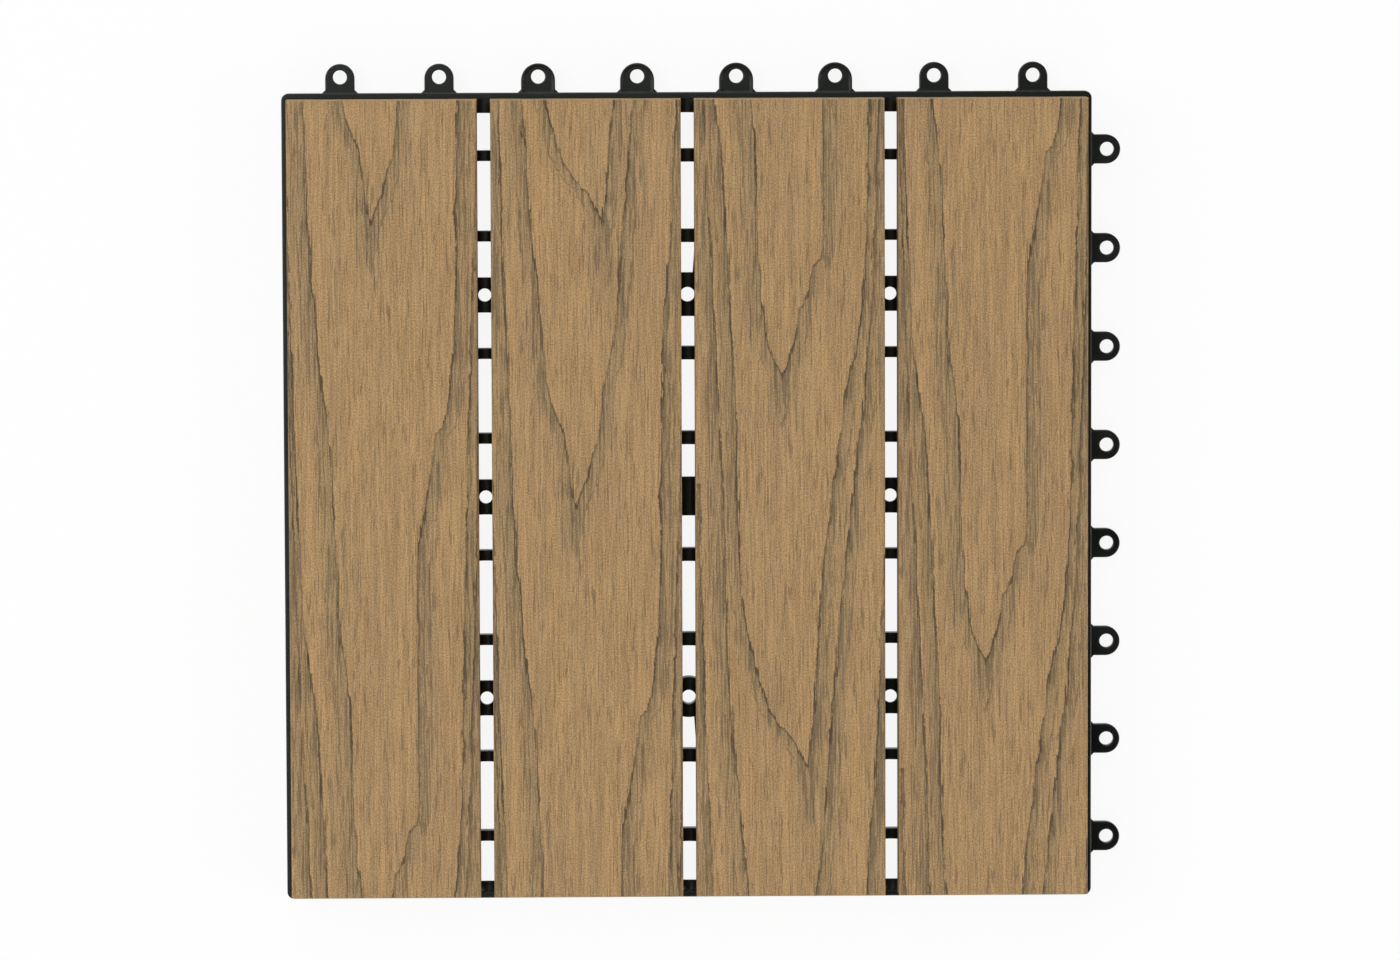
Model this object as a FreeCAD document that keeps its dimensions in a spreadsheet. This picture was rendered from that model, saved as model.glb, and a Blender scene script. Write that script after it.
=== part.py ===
import FreeCAD, Part
import math
import os

import Sketcher

# An interlocking deck tile: four wood-plastic boards on one moulded grid, screwed from below.
# The grid has a row of flat loops on its +X and +Y sides and a row of pegs under the rim of its
# -X and -Y sides, so the loops of one tile slide under the next tile and take its pegs.
# Millimetres, +Z up. The origin is the middle of the tile, on the floor. The boards run along Y.

SIZES = [
    ("tile_pitch", 300, "from one laid tile to the next"),
    ("lay_gap", 0.6, "between the grids of two laid tiles"),
    ("slat_count", 4, "boards on a tile"),
    ("drain_gap", 5, "between two boards"),
    ("slat_end_inset", 2.4, "from the middle of the gap to the next tile to a board's end"),
    ("slat_thickness", 15, "thickness of a board"),
    ("slat_edge_radius", 1.0, "rounding of a board's long top edges"),
    ("slat_end_chamfer", 0.4, "chamfer of a board's sawn top ends"),
    ("groove_count", 3, "relief grooves under a board"),
    ("groove_pitch", 21, "from one relief groove to the next"),
    ("groove_width", 7, "width of a relief groove"),
    ("groove_depth", 1.2, "depth of a relief groove"),
    ("grid_height", 7, "floor to the seat of the boards"),
    ("foot_height", 1.2, "floor to the underside of the ribs"),
    ("foot_length", 9, "length of a foot under a cross rib"),
    ("foot_offset", 24, "from the middle of a board to each foot near its ends"),
    ("post_side", 8, "square post under the middle of the grid"),
    ("corner_radius", 2.6, "rounding of the grid's corners"),
    ("rim_wall", 2.2, "thickness of the rim's upright wall"),
    ("flange_thickness", 1.8, "thickness of the rim's flat top"),
    ("loop_side_flange", 7.4, "width of the rim's top on the loop sides"),
    ("peg_side_flange", 6.2, "width of the rim's top where a drain gap crosses a peg side"),
    ("channel_clearance", 0.7, "between the tip of the next tile's loop and the channel wall"),
    ("rail_wall", 2, "thickness of the lengthwise rails and the channel walls"),
    ("edge_rail_inset", 3.5, "from the edge of a board to the rail under that edge"),
    ("rib_width", 3.9, "width of the cross ribs seen in the drain gaps"),
    ("wide_rib_width", 4.9, "width of the same ribs in the middle drain gap"),
    ("rib_row_near", 0.0725, "first row of cross ribs from the middle, as a share of the pitch"),
    ("rib_row_second", 0.1775, "second row of cross ribs, likewise"),
    ("rib_row_third", 0.3225, "third row of cross ribs, likewise"),
    ("rib_row_far", 0.4217, "fourth row of cross ribs, likewise"),
    ("pad_thickness", 3, "thickness of a pad"),
    ("side_pad_length", 13, "length of a pad in the outer drain gaps"),
    ("middle_pad_length", 16.2, "length of the upper pad in the middle drain gap"),
    ("centre_pad_length", 14.4, "length of the closed pad in the middle of the tile"),
    ("pad_hole_radius", 2.45, "hole through a pad"),
    ("boss_radius", 7.5, "round boss in the middle drain gap"),
    ("boss_hole_radius", 2.7, "hole through that boss and through the upper pad"),
    ("brace_wall", 1.5, "thickness of the slanted braces beside the middle pads"),
    ("brace_inner_offset", 1.9, "from the middle of the gap to a brace, at the pad"),
    ("brace_outer_offset", 3, "from the middle of the gap to a brace, at the cross rib"),
    ("dip_radius", 5, "curve of the drain dip across the ribs in a gap"),
    ("dip_depth", 1, "depth of the drain dip"),
    ("loop_count", 8, "loops or pegs on a side"),
    ("loop_spacing", 0.122, "from one loop to the next, as a share of the pitch"),
    ("loop_thickness", 3.2, "thickness of a loop"),
    ("loop_hole_radius", 2.6, "hole in a loop"),
    ("loop_reach", 5.9, "from the grid's edge to the hole's centre"),
    ("loop_tip", 10.8, "from the grid's edge to the loop's tip"),
    ("loop_half_width", 5.4, "half the width of a loop"),
    ("loop_flare", 1.2, "slanted gusset where a loop leaves the rim"),
    ("wide_loop_count", 4, "wider loops in the middle of the +Y side"),
    ("wide_loop_half_width", 6.3, "half the width of a wider loop"),
    ("loop_lip_width", 0.9, "raised lip round a wider loop"),
    ("loop_lip_height", 0.4, "height of that lip"),
    ("peg_radius", 2.3, "radius of a peg"),
    ("peg_length", 4.2, "from the rim's underside to the peg's tip"),
    ("notch_clearance", 0.5, "between a loop's root and the notch in the next tile's rim"),
    ("screw_hole", 2, "half the width of the eight-sided hole for a screw"),
    ("screw_offset", 10.5, "from the middle of a board to each of its screws"),
    ("screw_bar_length", 31, "bar under a board's end that takes two screws"),
    ("screw_bar_width", 9.6, "width of that bar"),
]

doc = FreeCAD.newDocument("deck_tile")
sheet = doc.addObject("Spreadsheet::Sheet", "Sizes")
for row, (alias, size, meaning) in enumerate(SIZES, start=1):
    sheet.set(f"A{row}", meaning)
    sheet.set(f"B{row}", str(size))
    sheet.setAlias(f"B{row}", alias)
doc.recompute()

VERTICAL = FreeCAD.Vector(0, 0, 1)
ROWS_OF_RIBS = ("near", "second", "third", "far")

# Places and sizes that follow from the driving ones
slat_pitch = "Sizes.tile_pitch / Sizes.slat_count"
slat_width = f"({slat_pitch} - Sizes.drain_gap)"
slat_length = "(Sizes.tile_pitch - 2 * Sizes.slat_end_inset)"
pad_row = "(Sizes.tile_pitch / 4)"
loop_pitch = "(Sizes.tile_pitch * Sizes.loop_spacing)"
half_grid = "(Sizes.tile_pitch - Sizes.lay_gap) / 2"
half_rim = f"({half_grid} - Sizes.rim_wall)"
inside_rim = f"({half_grid} - Sizes.rim_wall / 2)"
rib_height = "(Sizes.grid_height - Sizes.foot_height)"
flange_underside = "(Sizes.grid_height - Sizes.flange_thickness)"
pad_underside = "(Sizes.grid_height - Sizes.pad_thickness)"
gap_rail = "(Sizes.drain_gap / 2 + Sizes.edge_rail_inset)"
gap_side = f"({gap_rail} - Sizes.rail_wall / 2)"
channel_wall = (
    f"(Sizes.tile_pitch - {half_grid} - Sizes.loop_tip - Sizes.channel_clearance)"
)
channel_inside = f"({channel_wall} - Sizes.rail_wall)"
channel_middle = f"({channel_wall} - Sizes.rail_wall / 2)"
peg_line = f"(Sizes.tile_pitch - {half_grid} - Sizes.loop_reach)"
loop_top = "(Sizes.foot_height + Sizes.loop_thickness)"
peg_tip = f"({flange_underside} - Sizes.peg_length)"


def value(expression):
    """The number that an expression of the sheet's sizes has now."""
    return float(sheet.evalExpression(expression))


def number_of(alias):
    return round(value(f"Sizes.{alias}"))


def row_places(count, pitch):
    """Places of a row's members along its line, with the row's middle at 0."""
    return [f"({i - (count - 1) / 2} * {pitch})" for i in range(count)]


slat_places = row_places(number_of("slat_count"), slat_pitch)
gap_places = row_places(number_of("slat_count") - 1, slat_pitch)
side_gap_places = [gap_places[0], gap_places[-1]]
loop_places = row_places(number_of("loop_count"), loop_pitch)
wide_loop_places = row_places(number_of("wide_loop_count"), loop_pitch)
near_rows, middle_foot_rows, screw_rows, far_rows = (
    [f"{sign}Sizes.tile_pitch * Sizes.rib_row_{row}" for sign in "-+"] for row in ROWS_OF_RIBS
)
rib_places = near_rows + middle_foot_rows + screw_rows + far_rows
pad_places = [f"-{pad_row}", "0", pad_row]


def rectangle(left, right, bottom, top):
    return [(left, bottom), (right, bottom), (right, top), (left, top)], {}


def beside(places, offset):
    """The places at one distance to either side of each given place."""
    return [f"({place} {sign} {offset})" for place in places for sign in "-+"]


def strip(x, y, width, length):
    """A rectangle about its middle."""
    left, right = f"{x} - {width} / 2", f"{x} + {width} / 2"
    return rectangle(left, right, f"{y} - {length} / 2", f"{y} + {length} / 2")


def octagon(half):
    """A regular eight-sided outline about the middle, from half the distance across flats."""
    near = f"{half} * tan(22.5)"
    quarter = [(half, f"-{near}"), (half, near)]
    corners = []
    for _ in range(4):
        corners += quarter
        quarter = [(f"-({y})", x) for x, y in quarter]
    return corners, {}


def rounded_square(half, radius):
    flat = f"({half} - {radius})"
    corners = [
        (f"-{flat}", f"-{half}"),
        (flat, f"-{half}"),
        (half, f"-{flat}"),
        (half, flat),
        (flat, half),
        (f"-{flat}", half),
        (f"-{half}", flat),
        (f"-{half}", f"-{flat}"),
    ]
    arcs = {
        1: (flat, f"-{flat}", True),
        3: (flat, flat, True),
        5: (f"-{flat}", flat, True),
        7: (f"-{flat}", f"-{flat}", True),
    }
    return corners, arcs


def draw(sketch, outlines=(), circles=()):
    """Draws closed outlines and circles, each size of them bound to the sheet.

    An outline is its corners and its arcs. An arc is known by the corner it leaves, and has a
    centre and whether it runs anticlockwise; the other stretches are straight."""
    pieces, rules, sizes = [], [], []

    def rule(kind, *where, size=None):
        rules.append(Sketcher.Constraint(kind, *where, *([value(size)] if size else [])))
        sizes.append(size)

    def pin(piece, end, x, y):
        rule("DistanceX", -1, 1, piece, end, size=x)
        rule("DistanceY", -1, 1, piece, end, size=y)

    for corners, arcs in outlines:
        first, count = len(pieces), len(corners)
        ends = [FreeCAD.Vector(value(x), value(y), 0) for x, y in corners]
        leaves = [1 if i not in arcs or arcs[i][2] else 2 for i in range(count)]
        for i, (x, y) in enumerate(corners):
            j = (i + 1) % count
            if i in arcs:
                middle = FreeCAD.Vector(value(arcs[i][0]), value(arcs[i][1]), 0)
                circle = Part.Circle(middle, VERTICAL, middle.distanceToPoint(ends[i]))
                low, high = (ends[i], ends[j]) if arcs[i][2] else (ends[j], ends[i])
                begin = circle.parameter(low)
                sweep = (circle.parameter(high) - begin) % (2 * math.pi)
                pieces.append(Part.ArcOfCircle(circle, begin, begin + sweep))
                rule("DistanceY", -1, 1, first + i, 3, size=arcs[i][1])
            else:
                pieces.append(Part.LineSegment(ends[i], ends[j]))
            pin(first + i, leaves[i], x, y)
            rule("Coincident", first + i, 3 - leaves[i], first + j, leaves[j])
    for x, y, radius in circles:
        middle = FreeCAD.Vector(value(x), value(y), 0)
        pieces.append(Part.Circle(middle, VERTICAL, value(radius)))
        pin(len(pieces) - 1, 3, x, y)
        rule("Radius", len(pieces) - 1, size=radius)

    sketch.addGeometry(pieces)
    for number, size in zip(sketch.addConstraint(rules), sizes):
        if size:
            sketch.setExpression(f"Constraints[{number}]", size)
    return sketch


def raise_up(name, outlines, bottom, height, circles=()):
    """Outlines in plan, made solid from one height upwards."""
    plan = doc.addObject("Sketcher::SketchObject", f"{name}_plan")
    plan.setExpression("Placement.Base.z", bottom)
    draw(plan, outlines, circles)
    solid = doc.addObject("Part::Extrusion", name)
    solid.Base = plan
    solid.DirMode = "Normal"
    solid.Solid = True
    solid.setExpression("LengthFwd", height)
    return solid


def copy_to(thing, x, y, angle=0):
    """The same piece again at another place, turned about the tile's middle."""
    copy = doc.addObject("App::Link", f"{thing.Name}_at")
    copy.LinkedObject = thing
    copy.LinkTransform = True
    copy.Placement.Rotation = FreeCAD.Rotation(VERTICAL, angle)
    if angle:
        x, y = y, f"-({x})"
    copy.setExpression("Placement.Base.x", x)
    copy.setExpression("Placement.Base.y", y)
    return copy


def fuse(name, pieces):
    whole = doc.addObject("Part::MultiFuse", name)
    whole.Shapes = pieces
    return whole


def cut(name, piece, openings):
    rest = doc.addObject("Part::Cut", name)
    rest.Base = piece
    rest.Tool = fuse(f"{name}_openings", openings)
    return rest


def make_rim():
    """Flat top and upright wall all round, with the notches and the inner wall of the two
    channels that the next tiles' loops slide into."""
    inner = f"({half_grid} - Sizes.loop_side_flange)"
    outline = rounded_square(half_grid, "Sizes.corner_radius")
    top = raise_up(
        "rim_top",
        [outline, rectangle(f"-{channel_inside}", inner, f"-{channel_inside}", inner)],
        flange_underside,
        "Sizes.flange_thickness",
    )
    wall = raise_up(
        "rim_wall",
        [outline, rectangle(f"-{half_rim}", half_rim, f"-{half_rim}", half_rim)],
        "Sizes.foot_height",
        rib_height,
    )
    channel = [
        (f"-{channel_wall}", f"-{channel_wall}"),
        (inside_rim, f"-{channel_wall}"),
        (inside_rim, f"-{channel_inside}"),
        (f"-{channel_inside}", f"-{channel_inside}"),
        (f"-{channel_inside}", inside_rim),
        (f"-{channel_wall}", inside_rim),
    ]
    channel_walls = raise_up(
        "channel_walls", [(channel, {})], "Sizes.foot_height", rib_height
    )

    notch_half = (
        "(Sizes.wide_loop_half_width + Sizes.loop_flare + Sizes.notch_clearance)"
    )
    notch = raise_up(
        "notch",
        [rectangle(f"-{notch_half}", notch_half, f"-{half_grid} - Sizes.rim_wall", f"-{half_rim}")],
        "0",
        flange_underside,
    )
    window = raise_up(
        "gap_window",
        [
            rectangle(
                f"-{gap_side}",
                gap_side,
                f"-({half_grid} - Sizes.peg_side_flange)",
                f"-{channel_inside}",
            )
        ],
        "Sizes.foot_height",
        rib_height,
    )
    openings = [copy_to(window, x, "0") for x in gap_places]
    for angle in (0, -90):
        openings += [copy_to(notch, x, "0", angle) for x in loop_places]
    rim = fuse("rim_solid", [top, wall, channel_walls])
    return cut("rim", rim, openings)


def make_lattice():
    """Lengthwise rails under the middles and the edges of the boards, and the cross ribs."""
    length = f"({channel_middle} + {inside_rim})"
    middle = f"(({inside_rim} - {channel_middle}) / 2)"
    rail_places = slat_places + beside(gap_places, gap_rail)
    rails = [strip(x, middle, "Sizes.rail_wall", length) for x in rail_places]
    ribs = [strip(middle, y, length, "Sizes.rib_width") for y in rib_places]
    wide = [strip("0", y, f"2 * {gap_rail}", "Sizes.wide_rib_width") for y in rib_places]
    return [
        raise_up("rails", rails, "Sizes.foot_height", rib_height),
        raise_up("cross_ribs", ribs, "Sizes.foot_height", rib_height),
        raise_up("middle_ribs", wide, "Sizes.foot_height", rib_height),
    ]


def make_pads():
    """Pads that bridge the drain gaps, the round boss, and the slanted braces beside them."""
    bridge = f"2 * {gap_rail}"
    pads = [
        strip(x, y, bridge, "Sizes.side_pad_length")
        for x in side_gap_places
        for y in pad_places
    ]
    pads.append(strip("0", "0", bridge, "Sizes.centre_pad_length"))
    pads.append(strip("0", pad_row, bridge, "Sizes.middle_pad_length"))
    post = strip("0", "0", "Sizes.post_side", "Sizes.post_side")
    boss = ("0", f"-{pad_row}", "Sizes.boss_radius")

    braces = []
    pad_ends = {"+": "Sizes.middle_pad_length / 2", "-": "Sizes.boss_radius"}
    for sign, end in pad_ends.items():
        near = f"{sign}({pad_row} + {end} - Sizes.brace_wall)"
        far = f"{sign}Sizes.tile_pitch * Sizes.rib_row_third"
        corners = [
            ("Sizes.brace_inner_offset", near),
            ("Sizes.brace_inner_offset + Sizes.brace_wall", near),
            ("Sizes.brace_outer_offset + Sizes.brace_wall", far),
            ("Sizes.brace_outer_offset", far),
        ]
        braces.append((corners, {}))
    return [
        raise_up("pads", pads, pad_underside, "Sizes.pad_thickness"),
        raise_up("posts", [post], "0", "Sizes.grid_height", [boss]),
        raise_up("braces", braces, "Sizes.foot_height", rib_height),
    ]


def make_bars_and_feet():
    """Bars for the screws, two screws to each end of a board, and feet under the cross ribs."""
    bar_outline = strip("0", "0", "Sizes.screw_bar_length", "Sizes.screw_bar_width")
    bar = raise_up("screw_bar", [bar_outline], "Sizes.foot_height", rib_height)
    foot_outline = strip("0", "0", "Sizes.foot_length", "Sizes.rib_width")
    foot = raise_up("foot", [foot_outline], "0", "Sizes.foot_height")
    outer_feet = beside(slat_places, "Sizes.foot_offset")
    bars = [copy_to(bar, x, y) for x in slat_places for y in screw_rows]
    feet = [copy_to(foot, x, y) for x in outer_feet for y in far_rows]
    feet += [copy_to(foot, x, y) for x in slat_places for y in middle_foot_rows]
    return bars + feet


def loop_outline(half_width):
    """A tongue with a round tip and a slanted gusset on each side of its root."""
    tip = f"({half_grid} + Sizes.loop_tip - {half_width})"
    foot = f"({half_width} + Sizes.loop_flare)"
    shoulder = f"({half_grid} + Sizes.loop_flare)"
    corners = [
        (foot, inside_rim),
        (foot, half_grid),
        (half_width, shoulder),
        (half_width, tip),
        (f"-{half_width}", tip),
        (f"-{half_width}", shoulder),
        (f"-{foot}", half_grid),
        (f"-{foot}", inside_rim),
    ]
    return corners, {3: ("0", tip, True)}


def lip_outline(half_width):
    """The raised edge of a wider loop."""
    inner = f"({half_width} - Sizes.loop_lip_width)"
    tip = f"({half_grid} + Sizes.loop_tip - {half_width})"
    corners = [
        (half_width, half_grid),
        (half_width, tip),
        (f"-{half_width}", tip),
        (f"-{half_width}", half_grid),
        (f"-{inner}", half_grid),
        (f"-{inner}", tip),
        (inner, tip),
        (inner, half_grid),
    ]
    return corners, {1: ("0", tip, True), 5: ("0", tip, False)}


def make_loops():
    """A row of loops on two sides. The middle ones of the +Y row are wider and have a lip."""
    thickness = "Sizes.loop_thickness"
    bottom = "Sizes.foot_height"
    wide_half = "Sizes.wide_loop_half_width"
    plain = raise_up("loop", [loop_outline("Sizes.loop_half_width")], bottom, thickness)
    wide = raise_up("wide_loop", [loop_outline(wide_half)], bottom, thickness)
    lip = raise_up("loop_lip", [lip_outline(wide_half)], loop_top, "Sizes.loop_lip_height")
    loops = [copy_to(plain, x, "0", -90) for x in loop_places]
    loops += [copy_to(plain, x, "0") for x in loop_places if x not in wide_loop_places]
    loops += [copy_to(piece, x, "0") for piece in (wide, lip) for x in wide_loop_places]
    return loops


def both_rows(line, radius):
    """A circle for each loop of two neighbouring sides, at one distance from the middle."""
    return [(x, line, radius) for x in loop_places] + [(line, x, radius) for x in loop_places]


def make_pegs():
    """Under the rim of the other two sides, a peg for each loop of the next tile."""
    height = "Sizes.peg_length + Sizes.flange_thickness / 2"
    return raise_up("pegs", [], peg_tip, height, both_rows(f"-{peg_line}", "Sizes.peg_radius"))


def make_grid_openings():
    """Holes of the loops, pads and screws, and the troughs along the drain gaps."""
    pad_holes = [
        (x, y, "Sizes.pad_hole_radius") for x in side_gap_places for y in pad_places
    ]
    pad_holes += [("0", y, "Sizes.boss_hole_radius") for y in (pad_places[0], pad_places[-1])]
    loop_holes = both_rows(f"{half_grid} + Sizes.loop_reach", "Sizes.loop_hole_radius")
    screw_hole = raise_up(
        "screw_hole", [octagon("Sizes.screw_hole")], "Sizes.foot_height", rib_height
    )
    screw_columns = beside(slat_places, "Sizes.screw_offset")
    trough = doc.addObject("Part::Cylinder", "trough")
    trough.setExpression("Radius", "Sizes.dip_radius")
    trough.setExpression("Height", slat_length)
    trough.Placement.Rotation = FreeCAD.Rotation(FreeCAD.Vector(1, 0, 0), -90)
    trough.setExpression("Placement.Base.y", f"-{slat_length} / 2")
    trough.setExpression(
        "Placement.Base.z", "Sizes.grid_height + Sizes.dip_radius - Sizes.dip_depth"
    )
    openings = [raise_up("holes", [], "0", "Sizes.grid_height", pad_holes + loop_holes)]
    openings += [copy_to(screw_hole, x, y) for x in screw_columns for y in screw_rows]
    return openings + [copy_to(trough, x, "0") for x in gap_places]


def make_grid():
    pieces = [make_rim(), *make_lattice(), *make_pads(), *make_bars_and_feet()]
    solid = fuse("grid_solid", pieces + make_loops() + [make_pegs()])
    return cut("base_grid", solid, make_grid_openings())


def body_sketch(body, name, role):
    """A sketch on one of the body's own planes."""
    sketch = body.newObject("Sketcher::SketchObject", name)
    plane = next(f for f in body.Origin.OriginFeatures if f.Role == role)
    sketch.AttachmentSupport = [(plane, "")]
    sketch.MapMode = "FlatFace"
    return sketch


def body_feature(kind, name, sketch, length):
    feature = sketch.getParentGeoFeatureGroup().newObject(f"PartDesign::{kind}", name)
    feature.Profile = sketch
    feature.SideType = "Symmetric"
    feature.setExpression("Length", length)
    return feature


def make_slat(name, place):
    """A board extruded with relief grooves underneath and rounded long edges, then sawn to
    length, with the sawn ends broken."""
    slat = doc.addObject("PartDesign::Body", name)
    half = f"{slat_width} / 2"
    top = "Sizes.slat_thickness"
    edge = "Sizes.slat_edge_radius"
    corners = [(f"-{half}", "0")]
    for middle in row_places(number_of("groove_count"), "Sizes.groove_pitch"):
        left, right = (f"{middle} {sign} Sizes.groove_width / 2" for sign in "-+")
        corners += [(left, "0"), (left, "Sizes.groove_depth")]
        corners += [(right, "Sizes.groove_depth"), (right, "0")]
    corners += [
        (half, "0"),
        (half, f"{top} - {edge}"),
        (f"{half} - {edge}", top),
        (f"-{half} + {edge}", top),
        (f"-{half}", f"{top} - {edge}"),
    ]
    arcs = {
        len(corners) - 4: (f"{half} - {edge}", f"{top} - {edge}", True),
        len(corners) - 2: (f"-{half} + {edge}", f"{top} - {edge}", True),
    }
    profile = draw(body_sketch(slat, f"{name}_profile", "XZ_Plane"), [(corners, arcs)])
    body_feature("Pad", f"{name}_board", profile, slat_length)

    end = f"{slat_length} / 2"
    chamfer = "Sizes.slat_end_chamfer"
    triangles = [
        ([(f"{end} - {chamfer}", top), (end, f"{top} - {chamfer}"), (end, top)], {}),
        ([(f"-{end}", top), (f"-{end}", f"{top} - {chamfer}"), (f"-{end} + {chamfer}", top)], {}),
    ]
    ends = draw(body_sketch(slat, f"{name}_end_profile", "YZ_Plane"), triangles)
    body_feature("Pocket", f"{name}_broken_ends", ends, slat_width)
    slat.setExpression("Placement.Base.x", place)
    slat.setExpression("Placement.Base.z", "Sizes.grid_height")
    return slat


nodes = [make_grid()]
for i, place in enumerate(slat_places, start=1):
    nodes.append(make_slat(f"slat_{i}", place))
for node in nodes:
    node.Label = node.Name
doc.recompute()

for thing in doc.Objects:
    if "Invalid" in thing.State or "Error" in thing.State:
        raise RuntimeError(f"{thing.Name} could not be made: {thing.State}")
for node in nodes:
    if node.Shape.isNull() or not node.Shape.isValid():
        raise RuntimeError(f"{node.Label} has no valid shape")

os.makedirs("parts", exist_ok=True)
for node in nodes:
    node.Shape.exportStep(f"parts/{node.Label}.step")
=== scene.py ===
import math

import bmesh
import bpy
from mathutils import Matrix, Vector


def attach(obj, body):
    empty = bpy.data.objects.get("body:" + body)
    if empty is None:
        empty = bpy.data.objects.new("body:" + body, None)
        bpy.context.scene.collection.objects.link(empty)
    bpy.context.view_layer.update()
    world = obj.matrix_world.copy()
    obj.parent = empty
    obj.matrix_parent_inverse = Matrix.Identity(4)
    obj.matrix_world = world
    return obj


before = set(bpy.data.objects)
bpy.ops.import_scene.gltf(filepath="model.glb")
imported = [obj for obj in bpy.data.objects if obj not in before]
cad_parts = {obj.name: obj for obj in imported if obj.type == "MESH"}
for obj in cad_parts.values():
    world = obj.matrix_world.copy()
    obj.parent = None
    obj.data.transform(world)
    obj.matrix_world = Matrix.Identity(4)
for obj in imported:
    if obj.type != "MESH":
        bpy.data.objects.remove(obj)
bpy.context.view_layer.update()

MM = 0.001


# --- View: the tile seen from almost straight above, a little from its upper left ---
# The tile lies flat, with its rows of loops along the top and the right of the picture, and turned
# a quarter of a degree. A long lens keeps its sides square.
camera_distance = 2.6
picture_width = 516.3 * MM
looked_at = Vector((4.15, 7.25, 22.0)) * MM
lean_left = math.radians(1.0)
lean_up = math.radians(4.6)
tile_turn = math.radians(0.27)

camera_data = bpy.data.cameras.new("overhead_camera")
camera_data.sensor_width = 36
camera_data.lens = camera_data.sensor_width * camera_distance / picture_width
camera_data.clip_end = 50
camera = bpy.data.objects.new("overhead_camera", camera_data)
bpy.context.scene.collection.objects.link(camera)
towards_camera = Vector((-math.tan(lean_left), math.tan(lean_up), 1)).normalized()
camera.location = looked_at + towards_camera * camera_distance
side = Vector((math.cos(tile_turn), -math.sin(tile_turn), 0))
side = (side - towards_camera * side.dot(towards_camera)).normalized()
upwards = towards_camera.cross(side)
camera.rotation_euler = Matrix((side, upwards, towards_camera)).transposed().to_euler()
bpy.context.scene.camera = camera
bpy.context.scene.view_settings.view_transform = "Standard"


# --- Studio: a soft box overhead to the upper left, panels on four sides, a pale table ---
# The air is dark overhead and lighter towards the horizon, so the flat black faces show the soft
# box only where it stands over them: along the top of the tile. The panels light the boards.
def linear(hex_colour):
    """An sRGB hex colour as the linear values that a shader takes."""
    parts = [int(hex_colour[i : i + 2], 16) / 255 for i in (1, 3, 5)]
    curve = [c / 12.92 if c <= 0.04045 else ((c + 0.055) / 1.055) ** 2.4 for c in parts]
    return (*curve, 1.0)


def add(tree, kind, inputs=(), **settings):
    """A node with its settings and its inputs, which are given in order or by name.

    A socket is linked, a node is linked by its first output, and anything else is set.
    """
    node = tree.nodes.new(kind)
    for name, setting in settings.items():
        setattr(node, name, setting)
    named = inputs.items() if isinstance(inputs, dict) else enumerate(inputs)
    for key, given in named:
        if isinstance(given, bpy.types.Node):
            given = given.outputs[0]
        if isinstance(given, bpy.types.NodeSocket):
            tree.links.new(given, node.inputs[key])
        else:
            node.inputs[key].default_value = given
    return node


def new_material(name):
    """A material, its empty tree, and the output that its shader goes to."""
    material = bpy.data.materials.new(name)
    material.use_nodes = True
    material.node_tree.nodes.clear()
    return material, material.node_tree, add(material.node_tree, "ShaderNodeOutputMaterial")


horizon_light = 0.6
overhead_light = 0.03
world = bpy.data.worlds.new("studio_air")
bpy.context.scene.world = world
world.use_nodes = True
tree = world.node_tree
tree.nodes.clear()
looking = add(tree, "ShaderNodeTexCoord")
up_and_down = add(tree, "ShaderNodeSeparateXYZ", (looking.outputs["Generated"],))
air = add(
    tree, "ShaderNodeMapRange", (up_and_down.outputs["Z"], 0, 1, horizon_light, overhead_light)
)
# The camera sees the air as plain white
seen_by = add(tree, "ShaderNodeLightPath")
brightness = add(
    tree, "ShaderNodeMath", (air, seen_by.outputs["Is Camera Ray"]), operation="MAXIMUM"
)
glowing_air = add(tree, "ShaderNodeBackground", (linear("#FFFFFF"), brightness))
add(tree, "ShaderNodeOutputWorld", {"Surface": glowing_air})

# Each lamp's place, the point it faces and its size (m), and its power (W)
for name, place, facing, size, power in (
    ("soft_box", (-0.68, 0.66, 2.0), (-0.68, 0.66, 0), (1.86, 1.12), 6.0),
    ("slot_strip", (-0.52, -0.4, 2.0), (-0.52, -0.4, 0), (0.36, 1.6), 3.2),
    ("left_panel", (-2.0, 0.4, 1.6), (0, 0, 0), (1.6, 1.2), 28.5),
    ("right_panel", (2.1, -0.6, 1.3), (0, 0, 0), (1.4, 1.2), 23),
    ("near_panel", (-0.3, -2.0, 1.6), (0, 0, 0), (1.4, 1.2), 14),
    ("far_panel", (-0.2, 2.2, 1.7), (0, 0, 0), (1.4, 1.2), 16),
):
    lamp = bpy.data.lights.new(name, "AREA")
    lamp.shape = "RECTANGLE"
    lamp.size, lamp.size_y = size
    lamp.energy = power
    lamp_object = bpy.data.objects.new(name, lamp)
    bpy.context.scene.collection.objects.link(lamp_object)
    lamp_object.location = place
    lamp_object.rotation_euler = (Vector(facing) - Vector(place)).to_track_quat("-Z", "Y").to_euler()
    lamp_object.visible_camera = False
bpy.data.lights["soft_box"].color = (0.84, 1.0, 0.9)

table_reach = 6.0
table_level = -0.2 * MM
white_share = 0.91
table_mesh = bpy.data.meshes.new("table_top")
corners = [(-1, -1), (1, -1), (1, 1), (-1, 1)]
table_mesh.from_pydata(
    [(x * table_reach, y * table_reach, table_level) for x, y in corners], [], [(0, 1, 2, 3)]
)
table = bpy.data.objects.new("table_top", table_mesh)
bpy.context.scene.collection.objects.link(table)

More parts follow.
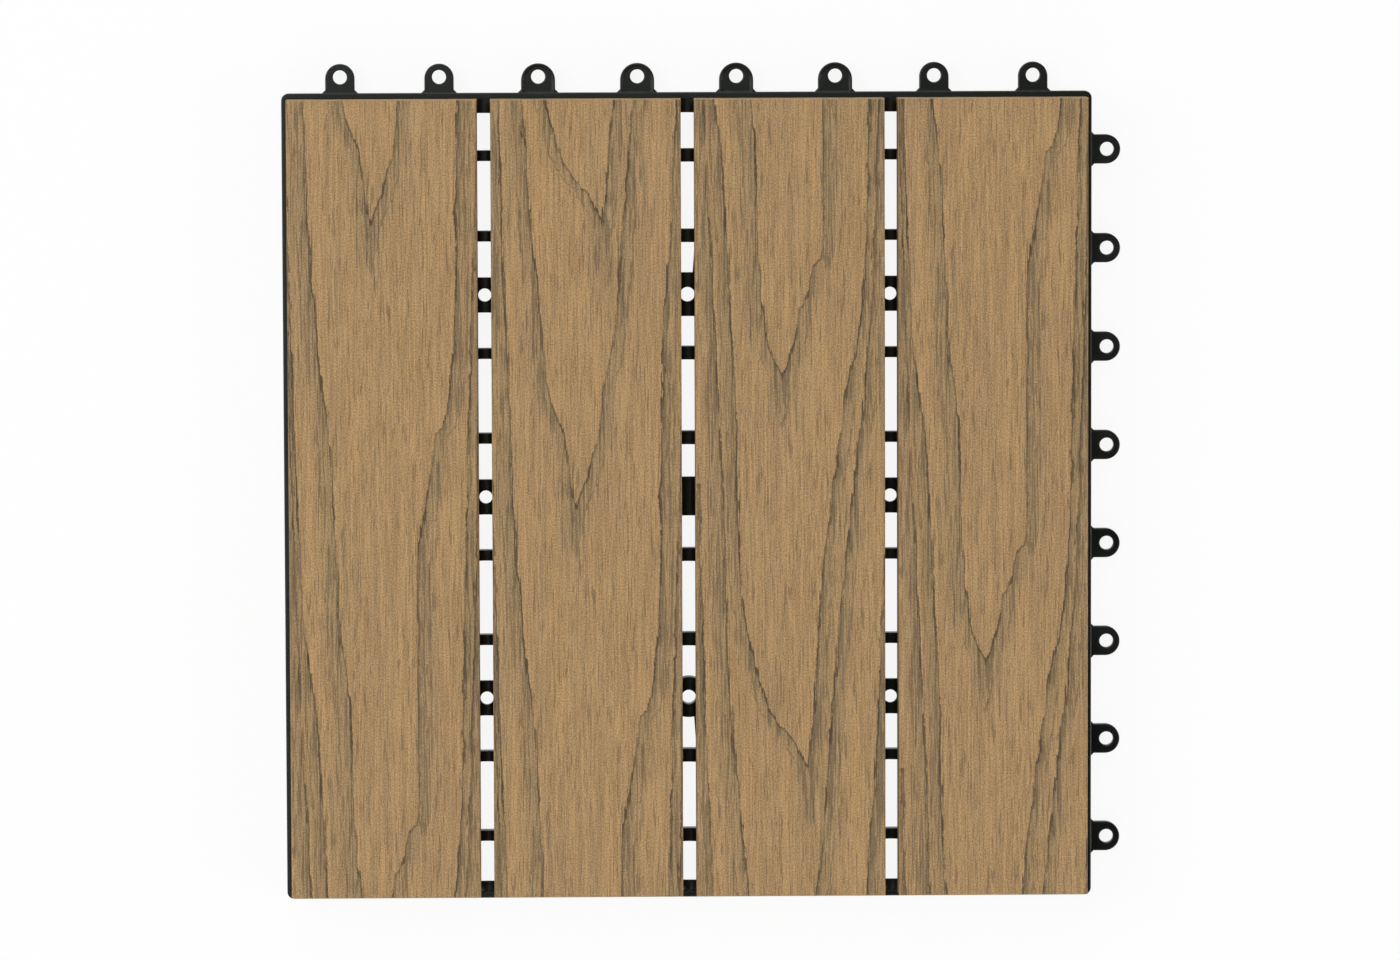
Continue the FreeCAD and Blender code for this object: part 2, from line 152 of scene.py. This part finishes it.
# Paper that the camera sees nearly white, while it still takes the tile's soft shadow
paper, tree, output = new_material("white_paper_sweep")
sheet = add(tree, "ShaderNodeBsdfDiffuse", {"Color": linear("#F2F2F2")})
glow = add(tree, "ShaderNodeEmission", {"Color": linear("#FFFFFF"), "Strength": 1.0})
path = add(tree, "ShaderNodeLightPath")
share = add(
    tree, "ShaderNodeMath", (path.outputs["Is Camera Ray"], white_share), operation="MULTIPLY"
)
mixed = add(tree, "ShaderNodeMixShader", (share, sheet, glow))
# Only the camera sees it, and only from above: what it would throw back up comes from the air
# below, so the tile's underside is lit and shows
side_seen = add(tree, "ShaderNodeNewGeometry")
clear = add(tree, "ShaderNodeBsdfTransparent")
one_sided = add(tree, "ShaderNodeMixShader", (side_seen.outputs["Backfacing"], mixed, clear))
tree.links.new(one_sided.outputs[0], output.inputs["Surface"])
table_mesh.materials.append(paper)
table.visible_diffuse = False
table.visible_glossy = False
table.visible_transmission = False
table.visible_shadow = False


# --- Boards: four planks of extruded wood-plastic composite, brushed and grained ---
# Wood flour in polyethylene, run out as one long plank, wire-brushed along its length and rolled
# with a grain that comes round again every half metre. Each board is sawn from another stretch.
# All sizes here are in mm.
board_pitch = 75.0
board_top = 22.0
board_end = 147.6
grain_repeat = 516.0
below_tip = 40.0
cut_from = {"slat_1": 103.0, "slat_2": 208.0, "slat_3": -106.0, "slat_4": 0.0}

# Each cathedral of the grain has its tip's height along the roll, the width of the late wood
# outside its arms, and for its left and right arm the place across the board, from the board's
# middle, at each height. Below the tip the arms run on and cross.
cathedrals = [
    {
        "tip": -60,
        "band": 6.5,
        "left": {-100: 7, -88: 4, -60: -3, -57: -4.5, -54: -6, -49: -7.5, -43: -8.8, -36: -9.8,
                 -25: -10.8, -12: -11.5, 10: -12, 22: -12.3, 32: -13, 40: -14.2, 50: -15.8,
                 62: -16.7, 75: -17.2, 90: -17.7, 105: -18.3, 118: -19, 128: -20, 138: -21,
                 148: -22.5, 158: -23.5, 171: -24.5, 188: -26, 208: -27, 250: -28.5, 300: -30.5,
                 360: -32, 416: -34},
        "right": {-100: -13, -88: -10, -60: -3, -57: -1.5, -52: 0, -47: 1.2, -41: 2.2, -36: 3.5,
                  -31: 6, -26: 7.3, -20: 8.3, -17: 11.3, -10: 12, 0: 12.3, 55: 12, 72: 12,
                  82: 12.3, 90: 13.4, 97: 14.6, 104: 15.5, 112: 17, 121: 18.3, 128: 19.2,
                  130: 22, 134: 23, 141: 24, 158: 26, 172: 26.7, 208: 27, 278: 28.5, 305: 31,
                  416: 36},
    },
    {
        "tip": 206,
        "band": 6.0,
        "left": {166: 6, 180: 2.5, 206: -4, 211: -5.4, 222: -6.8, 228: -7.6, 233: -8.4, 236: -9.6,
                 240: -11.2, 246: -13.4, 252: -14.6, 268: -16, 285: -17.6, 302: -19.3,
                 320: -20.9, 343: -22.5, 362: -23.3, 380: -24, 410: -24.8, 440: -26, 476: -27.5,
                 540: -31, 682: -35},
        "right": {166: -14, 180: -10.5, 206: -4, 209: -3.2, 212: -2, 214: -0.6, 217: 0.3,
                  221: 0.8, 224: 1.8, 227: 3, 231: 4.4, 238: 5.2, 246: 5.8, 253: 6.8, 259: 8.2,
                  265: 9.2, 271: 10.3, 286: 11.7, 305: 13, 314: 14, 335: 15.4, 345: 16.6,
                  365: 18, 378: 19.3, 391: 20.8, 404: 22, 413: 23.3, 429: 24.5, 441: 26.5,
                  466: 28.5, 500: 31, 682: 36},
    },
    {
        "tip": -205,
        "band": 5.5,
        "left": {-245: 17, -205: 6.2, -201: 4, -197: 2, -193.5: 0, -190: -4, -184.5: -7.5,
                 -178: -10, -169: -12.5, -161: -14.5, -151: -16.5, -141: -18, -128: -18.7,
                 -90: -19.6, -72: -20, -55: -20.8, -38: -21.8, -20: -22.5, 0: -23.6, 17: -24.7,
                 30: -26, 42: -27.5, 60: -30, 100: -31.5, 180: -34, 271: -36},
        "right": {-245: -3, -205: 6.2, -186: 8.3, -170: 9.3, -156: 10, -145: 11, -131: 12,
                  -121: 13, -113: 14.6, -100: 15.3, -94: 17, -86: 18, -78: 19, -68: 20,
                  -61: 21.5, -55: 23, -47: 24.5, -40: 26, -30: 27, -6: 28, 60: 29.5, 120: 31,
                  200: 33.5, 271: 36},
    },
]
half_width_drawn = 40.0

# Tan and matt, finely furrowed along the board and speckled by the wood flour
composite, tree, output = new_material("brushed_wood_plastic")
place = add(tree, "ShaderNodeTexCoord")
in_mm = add(
    tree, "ShaderNodeVectorMath", (place.outputs["Object"], (1000, 1000, 1000)), operation="MULTIPLY"
)
tile_x, tile_y, tile_z = add(tree, "ShaderNodeSeparateXYZ", (in_mm,)).outputs

# Which board this is, the place across it from its middle, and the place along the roll
shifted = add(tree, "ShaderNodeMath", (tile_x, 2 * board_pitch), operation="ADD")
counted = add(tree, "ShaderNodeMath", (shifted, board_pitch), operation="DIVIDE")
board = add(tree, "ShaderNodeMath", (counted,), operation="FLOOR")
within = add(tree, "ShaderNodeMath", (counted,), operation="FRACT")
across = add(
    tree, "ShaderNodeMath", (within, board_pitch, -board_pitch / 2), operation="MULTIPLY_ADD"
)
along = tile_y
for number, stretch in enumerate(cut_from.values()):
    is_board = add(tree, "ShaderNodeMath", (board, number, 0.5), operation="COMPARE")
    along = add(tree, "ShaderNodeMath", (is_board, stretch, along), operation="MULTIPLY_ADD")
roll = add(tree, "ShaderNodeCombineXYZ", (across, along, tile_z))

# Noises drawn out along the board: width, length, detail and seed. The finest are as coarse as
# they need to be to show; the real fibres and wood flour are a few tenths of a millimetre across.
noises = {
    "fibres": (0.62, 20, 2, 3.1),
    "threads": (1.1, 42, 2, 11.9),
    "streaks": (2.4, 75, 2, 17.7),
    "broad": (9, 130, 1, 31.3),
    "wander": (3.5, 7, 2, 45.9),
    "fray": (0.8, 2, 2, 51.2),
    "strength": (7, 26, 1, 63.8),
    "speckle": (0.5, 0.6, 1, 77.0),
    "pores": (0.5, 9, 1, 88.4),
    "smudges": (2.2, 11, 2, 93.5),
}
noise = {}
for name, (width, length, detail, seed) in noises.items():
    stretched = add(
        tree,
        "ShaderNodeVectorMath",
        (roll, (1 / width, 1 / length, 1 / width), (seed, seed, seed)),
        operation="MULTIPLY_ADD",
    )
    noise[name] = add(
        tree, "ShaderNodeTexNoise", {"Vector": stretched, "Scale": 1.0, "Detail": detail}
    )

# The lines of the grain wander a little and are frayed by the brushing
line_wander = 1.6
line_reaches = {"fray": 1.0, "fibres": 2.6}
bend = add(
    tree, "ShaderNodeMath", (noise["wander"], line_wander, -line_wander / 2), operation="MULTIPLY_ADD"
)
for name, reach in line_reaches.items():
    centred = add(tree, "ShaderNodeMath", (bend, reach / 2), operation="SUBTRACT")
    bend = add(tree, "ShaderNodeMath", (noise[name], reach, centred), operation="MULTIPLY_ADD")
line_place = add(tree, "ShaderNodeMath", (across, bend), operation="ADD")


def arm_place(height, start, arm):
    """Where an arm of a cathedral lies across the board, from its height along the roll."""
    curve = add(tree, "ShaderNodeFloatCurve", {"Value": height, "Factor": 1.0})
    points = curve.mapping.curves[0].points
    wanted = [
        ((y - start) / grain_repeat, 0.5 + x / (2 * half_width_drawn)) for y, x in sorted(arm.items())
    ]
    points[0].location, points[1].location = wanted[0], wanted[-1]
    for where in wanted[1:-1]:
        points.new(*where)
    for point in points:
        point.handle_type = "VECTOR"
    curve.mapping.update()
    return add(
        tree,
        "ShaderNodeMath",
        (curve, 2 * half_width_drawn, -half_width_drawn),
        operation="MULTIPLY_ADD",
    )


# A range node with this setting eases from one end of its range to the other
eased = {"interpolation_type": "SMOOTHSTEP"}

# How far outside an arm its line begins and ends, its late wood thins out and its echo lies, the
# last two as shares of the late wood's width, and how wide and long the plume is
line_rise = (-0.25, 0.1)
line_fall = (0.35, 0.85)
band_reach = 1.5
echo_share = 0.72
echo_rise = 0.4
echo_fall = 0.5
plume_half_width = (2.0, 7.5)
plume_length = 11.0
lines, bands, echoes = 0.0, 0.0, 0.0
for cathedral in cathedrals:
    start = cathedral["tip"] - below_tip
    above_start = add(tree, "ShaderNodeMath", (along, start), operation="SUBTRACT")
    turns = add(tree, "ShaderNodeMath", (above_start, grain_repeat), operation="DIVIDE")
    height = add(tree, "ShaderNodeMath", (turns,), operation="FRACT")
    left = arm_place(height, start, cathedral["left"])
    right = arm_place(height, start, cathedral["right"])
    past_left = add(tree, "ShaderNodeMath", (left, line_place), operation="SUBTRACT")
    past_right = add(tree, "ShaderNodeMath", (line_place, right), operation="SUBTRACT")
    outside = add(tree, "ShaderNodeMath", (past_left, past_right), operation="MAXIMUM")

    # The late wood is a sharp dark line, and outside it dark fibres that thin out
    edge = add(tree, "ShaderNodeMapRange", (outside, *line_rise), **eased)
    fall = add(tree, "ShaderNodeMapRange", (outside, *line_fall, 1, 0), **eased)
    line = add(tree, "ShaderNodeMath", (edge, fall), operation="MULTIPLY")
    lines = add(tree, "ShaderNodeMath", (lines, line), operation="MAXIMUM")
    thinning = add(
        tree, "ShaderNodeMapRange", (outside, 0, cathedral["band"] * band_reach, 1, 0), **eased
    )
    band = add(tree, "ShaderNodeMath", (edge, thinning), operation="MULTIPLY")

    # A second, fainter line follows some way out
    echo_place = cathedral["band"] * echo_share
    rise = add(
        tree, "ShaderNodeMapRange", (outside, echo_place - echo_rise, echo_place), **eased
    )
    fall = add(
        tree, "ShaderNodeMapRange", (outside, echo_place, echo_place + echo_fall, 1, 0), **eased
    )
    echo = add(tree, "ShaderNodeMath", (rise, fall), operation="MULTIPLY")
    echoes = add(tree, "ShaderNodeMath", (echoes, echo), operation="MAXIMUM")

    # Below the tip the two arms' fibres run together into a plume
    crossed = add(tree, "ShaderNodeMath", (left, right), operation="SUBTRACT")
    below = add(tree, "ShaderNodeMath", (crossed, 0.5), operation="MULTIPLY")
    both = add(tree, "ShaderNodeMath", (left, right), operation="ADD")
    middle = add(tree, "ShaderNodeMath", (both, 0.5), operation="MULTIPLY")
    to_side = add(tree, "ShaderNodeMath", (line_place, middle), operation="SUBTRACT")
    off_middle = add(tree, "ShaderNodeMath", (to_side,), operation="ABSOLUTE")
    core = add(tree, "ShaderNodeMapRange", (off_middle, *plume_half_width, 0.95, 0), **eased)
    fading = add(tree, "ShaderNodeMapRange", (below, 0, plume_length, 1, 0), **eased)
    begun = add(tree, "ShaderNodeMapRange", (below, -0.6, 0), **eased)
    plume = add(tree, "ShaderNodeMath", (core, fading), operation="MULTIPLY")
    plume = add(tree, "ShaderNodeMath", (plume, begun), operation="MULTIPLY")
    band = add(tree, "ShaderNodeMath", (band, plume), operation="MAXIMUM")
    bands = add(tree, "ShaderNodeMath", (bands, band), operation="MAXIMUM")

# The rolled grain is only on the upper face, stronger in some places than in others; the flanks
# and ends show plain brushed composite
on_top = add(tree, "ShaderNodeMapRange", (tile_z, board_top - 1.0, board_top - 0.2), **eased)
strengths = []
for grain, ranges in (
    (lines, (0.35, 0.6, 0.5, 1)),
    (bands, (0.3, 0.65, 0.72, 1)),
    (echoes, (0.38, 0.6, 0.6, 0.1)),
):
    rolled = add(tree, "ShaderNodeMath", (grain, on_top), operation="MULTIPLY")
    uneven = add(tree, "ShaderNodeMapRange", (noise["strength"], *ranges), **eased)
    strengths.append(add(tree, "ShaderNodeMath", (rolled, uneven), operation="MULTIPLY"))
line_strength, density, echo_strength = strengths

# Where there is late wood, more and more of the fibres are dark, and a few are dark elsewhere
thick = add(tree, "ShaderNodeMapRange", (noise["threads"], 0.32, 0.68), **eased)
thick = add(tree, "ShaderNodeMath", (thick, 0.45), operation="MULTIPLY")
thin = add(tree, "ShaderNodeMapRange", (noise["fibres"], 0.36, 0.64), **eased)
fibre = add(tree, "ShaderNodeMath", (thin, 0.55, thick), operation="MULTIPLY_ADD")
late = add(tree, "ShaderNodeMath", (density, 0.56, fibre), operation="MULTIPLY_ADD")
late = add(tree, "ShaderNodeMapRange", (late, 0.94, 1.12, 0, 0.68), **eased)
streaked = add(tree, "ShaderNodeMapRange", (noise["streaks"], 0.42, 0.72), **eased)
stray = add(tree, "ShaderNodeMath", (streaked, 0.42, fibre), operation="MULTIPLY_ADD")
stray = add(tree, "ShaderNodeMapRange", (stray, 0.8, 1.3, 0, 0.56), **eased)
greyed = add(tree, "ShaderNodeMath", (density, 0.34), operation="MULTIPLY")

# The composite is an even tan, and other tones are laid over it, each by its own share
wood = linear("#AD8759")
for share, tone in (
    (noise["broad"], "#A2845C"),
    (stray, "#7A674B"),
    (greyed, "#897859"),
    (late, "#5E4F38"),
):
    layers = {"Factor": share, "A": wood, "B": linear(tone)}
    wood = add(tree, "ShaderNodeMix", layers, data_type="RGBA").outputs["Result"]

# Brushed fibres and wood flour are lighter and darker side by side
combed = add(tree, "ShaderNodeMapRange", (noise["fibres"], 0.34, 0.66, 0.84, 1.15), **eased)
floury = add(tree, "ShaderNodeMapRange", (noise["speckle"], 0.34, 0.66, 0.76, 1.21), **eased)
lightness = add(tree, "ShaderNodeMath", (combed, floury), operation="MULTIPLY")
wood = add(tree, "ShaderNodeVectorMath", {0: wood, "Scale": lightness}, operation="SCALE")

# Over them come open pores, grey smudges, the rolled lines, and paler ends where the saw cut, partly
# paler cut fibres and partly a painted highlight on the end chamfer
pore = add(tree, "ShaderNodeMath", (density, 0.07, noise["pores"]), operation="MULTIPLY_ADD")
pore = add(tree, "ShaderNodeMapRange", (pore, 0.6, 0.68, 0, 0.55), **eased)
smudge = add(tree, "ShaderNodeMapRange", (noise["smudges"], 0.7, 0.82, 0, 0.45), **eased)
inked = add(tree, "ShaderNodeMath", (line_strength, 0.84), operation="MULTIPLY")
to_end = add(tree, "ShaderNodeMath", (tile_y,), operation="ABSOLUTE")
# A painted highlight along the top of each sawn end, where its chamfer catches the light, together
# with the paler cut fibres
sawn_and_highlit = add(tree, "ShaderNodeMapRange", (to_end, board_end - 0.4, board_end - 0.2, 0, 0.35), **eased)
for share, tone in (
    (pore, "#5C4B33"),
    (smudge, "#57533F"),
    (echo_strength, "#5E4A2E"),
    (inked, "#3F2E17"),
    (sawn_and_highlit, "#D2B48A"),
):
    layers = {"Factor": share, "A": wood, "B": linear(tone)}
    wood = add(tree, "ShaderNodeMix", layers, data_type="RGBA").outputs["Result"]

# Brushing leaves furrows a tenth of a millimetre deep, and the rolled lines are pressed in
furrow_depth = 0.09
line_depth = 0.12
furrows = add(tree, "ShaderNodeMath", (fibre, furrow_depth), operation="MULTIPLY")
relief = add(
    tree, "ShaderNodeMath", (line_strength, -line_depth, furrows), operation="MULTIPLY_ADD"
)
bumped = add(tree, "ShaderNodeBump", {"Strength": 0.7, "Distance": MM, "Height": relief})
surface = add(
    tree,
    "ShaderNodeBsdfPrincipled",
    {"Base Color": wood, "Roughness": 0.72, "IOR": 1.5, "Normal": bumped},
)
tree.links.new(surface.outputs[0], output.inputs["Surface"])

for name in cut_from:
    board_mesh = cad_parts[name].data
    board_mesh.materials.clear()
    board_mesh.materials.append(composite)


# --- Grid: one moulding of black polypropylene that carries the boards and locks the tiles ---
# Filled with black, injection moulded in one piece, with satin faces off the mould, edges that
# the mould rounds a little, and a slightly duller, greenish grey shine where light falls on it.
plastic, tree, output = new_material("moulded_black_polypropylene")
place = add(tree, "ShaderNodeTexCoord")
in_mm = add(
    tree, "ShaderNodeVectorMath", (place.outputs["Object"], (1000, 1000, 1000)), operation="MULTIPLY"
)
rounded = add(tree, "ShaderNodeBevel", {"Radius": 0.8 * MM}, samples=6)
# The mould's skin repeats over half a millimetre, and the flow of the melt over 17 mm
mould_skin = add(tree, "ShaderNodeTexNoise", {"Vector": in_mm, "Scale": 2.2, "Detail": 3})
flow = add(tree, "ShaderNodeTexNoise", {"Vector": in_mm, "Scale": 0.06, "Detail": 2})
relief = add(
    tree,
    "ShaderNodeBump",
    {"Strength": 0.25, "Distance": 0.05 * MM, "Height": mould_skin, "Normal": rounded},
)
tones = {"Factor": flow, "A": linear("#050705"), "B": linear("#0C100C")}
black = add(tree, "ShaderNodeMix", tones, data_type="RGBA").outputs["Result"]
dullness = add(tree, "ShaderNodeMapRange", (flow, 0.3, 0.7, 0.26, 0.36))
surface = add(
    tree,
    "ShaderNodeBsdfPrincipled",
    {"Base Color": black, "Roughness": dullness, "IOR": 1.49, "Normal": relief},
)
tree.links.new(surface.outputs[0], output.inputs["Surface"])
grid_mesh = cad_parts["base_grid"].data
grid_mesh.materials.clear()
grid_mesh.materials.append(plastic)


# --- Screws: sixteen pan-head screws, four to a board, driven up through the grid's bars ---
# Zinc-plated steel, cold-headed with a cross recess and self-tapping. The heads bear on the
# underside of the bars, inside the height of the feet. Sizes are in mm.
head_radius = 3.6
head_top = 1.2
head_face = 0.25
shank_radius = 1.6
shank_top = 15.0
recess_arm = 1.5
recess_half = 0.42
recess_top = 1.0
around = 24

form = bmesh.new()


def ring(radius, z):
    """A closed ring of edges about the screw's axis."""
    turns = [2 * math.pi * i / around for i in range(around)]
    verts = [form.verts.new((radius * math.cos(a), radius * math.sin(a), z)) for a in turns]
    return [form.edges.new((verts[i - 1], verts[i])) for i in range(around)]


def cross(z):
    """The cross recess's outline at one height, smaller towards its bottom."""
    shrink = 1 - 0.35 * (z - head_face) / (recess_top - head_face)
    arm, half = recess_arm * shrink, recess_half * shrink
    quarter = [(arm, -half), (arm, half), (half, half)]
    places = []
    for _ in range(4):
        places += quarter
        quarter = [(-y, x) for x, y in quarter]
    verts = [form.verts.new((x, y, z)) for x, y in places]
    return [form.edges.new((verts[i - 1], verts[i])) for i in range(len(verts))]


profile = [(shank_radius, shank_top), (shank_radius, head_top), (head_radius, head_top)]
profile += [(head_radius, 0.85), (3.3, 0.5), (2.7, 0.3), (2.3, head_face)]
loops = [ring(radius, z) for radius, z in profile] + [cross(head_face), cross(recess_top)]
for upper, lower in zip(loops, loops[1:]):
    bmesh.ops.bridge_loops(form, edges=upper + lower)
bmesh.ops.contextual_create(form, geom=loops[-1])
bmesh.ops.contextual_create(form, geom=loops[0])
bmesh.ops.recalc_face_normals(form, faces=form.faces)
bmesh.ops.scale(form, vec=(MM, MM, MM), verts=form.verts)
screw_mesh = bpy.data.meshes.new("pan_head_screw")
form.to_mesh(screw_mesh)
form.free()
screw = bpy.data.objects.new("pan_head_screw", screw_mesh)

# Bright zinc with a faint yellowish passivation, clouded over a millimetre or so
zinc, tree, output = new_material("zinc_plated_steel")
place = add(tree, "ShaderNodeTexCoord")
clouds = add(
    tree, "ShaderNodeTexNoise", {"Vector": place.outputs["Object"], "Scale": 900, "Detail": 3}
)
tones = {"Factor": clouds, "A": linear("#B4B3AC"), "B": linear("#CFCBB9")}
plating = add(tree, "ShaderNodeMix", tones, data_type="RGBA").outputs["Result"]
dullness = add(tree, "ShaderNodeMapRange", (clouds, 0.3, 0.7, 0.28, 0.42), **eased)
surface = add(
    tree,
    "ShaderNodeBsdfPrincipled",
    {"Base Color": plating, "Metallic": 1.0, "Roughness": dullness},
)
tree.links.new(surface.outputs[0], output.inputs["Surface"])

screw_from_middle = 10.5
screw_row = 96.75
board_middles = [(i - 1.5) * board_pitch for i in range(4)]
places_mesh = bpy.data.meshes.new("screw_places")
places_mesh.from_pydata(
    [
        ((middle + offset) * MM, row * MM, 0)
        for middle in board_middles
        for offset in (-screw_from_middle, screw_from_middle)
        for row in (-screw_row, screw_row)
    ],
    [],
    [],
)
places = bpy.data.objects.new("screw_places", places_mesh)
bpy.context.scene.collection.objects.link(places)

rows = bpy.data.node_groups.new("screws_at_places", "GeometryNodeTree")
for socket, kind in (("Places", "Geometry"), ("Screw", "Object"), ("Metal", "Material")):
    rows.interface.new_socket(socket, in_out="INPUT", socket_type=f"NodeSocket{kind}")
rows.interface.new_socket("Screws", in_out="OUTPUT", socket_type="NodeSocketGeometry")
given = add(rows, "NodeGroupInput")
one = add(rows, "GeometryNodeObjectInfo", {"Object": given.outputs["Screw"]}).outputs["Geometry"]
turned = add(
    rows,
    "FunctionNodeRandomValue",
    {"Min": (0, 0, 0), "Max": (0, 0, math.pi / 2), "Seed": 5},
    data_type="FLOAT_VECTOR",
)
set_out = add(
    rows,
    "GeometryNodeInstanceOnPoints",
    {"Points": given.outputs["Places"], "Instance": one, "Rotation": turned},
)
real = add(rows, "GeometryNodeRealizeInstances", (set_out,))
plated = add(
    rows, "GeometryNodeSetMaterial", {"Geometry": real, "Material": given.outputs["Metal"]}
)
add(rows, "NodeGroupOutput", (plated,))
layer = places.modifiers.new("screws", "NODES")
layer.node_group = rows
for socket in rows.interface.items_tree:
    if socket.name == "Screw":
        layer[socket.identifier] = screw
    elif socket.name == "Metal":
        layer[socket.identifier] = zinc
view = bpy.context.evaluated_depsgraph_get()
screws_mesh = bpy.data.meshes.new_from_object(places.evaluated_get(view), depsgraph=view)
screws = bpy.data.objects.new("board_screws", screws_mesh)
bpy.context.scene.collection.objects.link(screws)
bpy.data.objects.remove(places)
bpy.data.objects.remove(screw)
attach(screws, "root")
